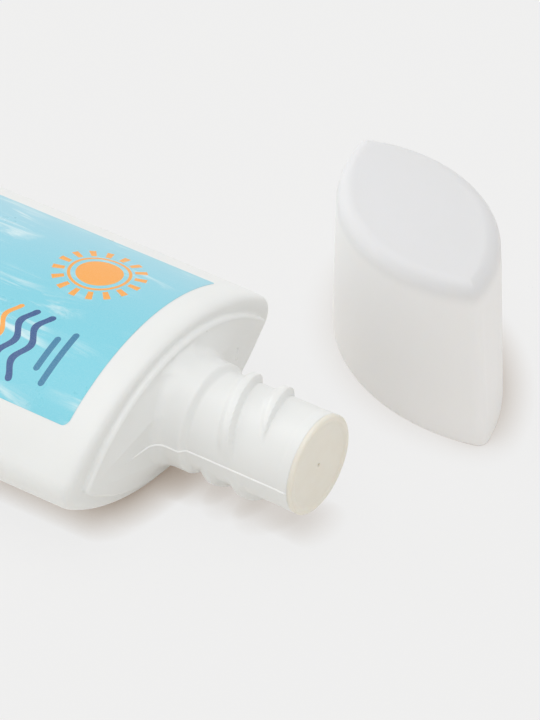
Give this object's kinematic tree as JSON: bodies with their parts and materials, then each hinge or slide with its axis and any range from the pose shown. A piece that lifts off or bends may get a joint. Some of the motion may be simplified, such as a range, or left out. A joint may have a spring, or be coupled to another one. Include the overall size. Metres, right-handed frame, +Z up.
{
  "type": "sunscreen bottle",
  "caption": "Flat oval-sided lotion bottle lying on its back, with a coarse-threaded neck, an orifice insert and its matching screw cap stood beside it.",
  "frame": {"origin": "on the surface the bottle and its cap rest on, under the middle of the box around both", "axes": "+X along the bottle's axis from base to mouth, +Z up out of the front face of the lying bottle, +Y towards the cap that stands beside it"},
  "size_m": [0.1712, 0.1122, 0.0384],
  "materials": {
    "white_bottle_plastic": "satin white",
    "natural_insert_plastic": "natural, slightly milky",
    "label_film": "printed film",
    "frosted_cap_plastic": "frosted",
    "liner_foam": "fine foam"
  },
  "bodies": {
    "bottle": {"bottle_body": "white_bottle_plastic", "orifice_insert": "natural_insert_plastic", "front_label": "label_film"},
    "cap": {"cap": "frosted_cap_plastic", "cap_liner": "liner_foam"}
  },
  "joints": [
    {"name": "cap_lift", "type": "slide", "parent": "bottle", "child": "cap", "axis": [0, 0, 1], "range_m": [0, 0.08]}
  ]
}
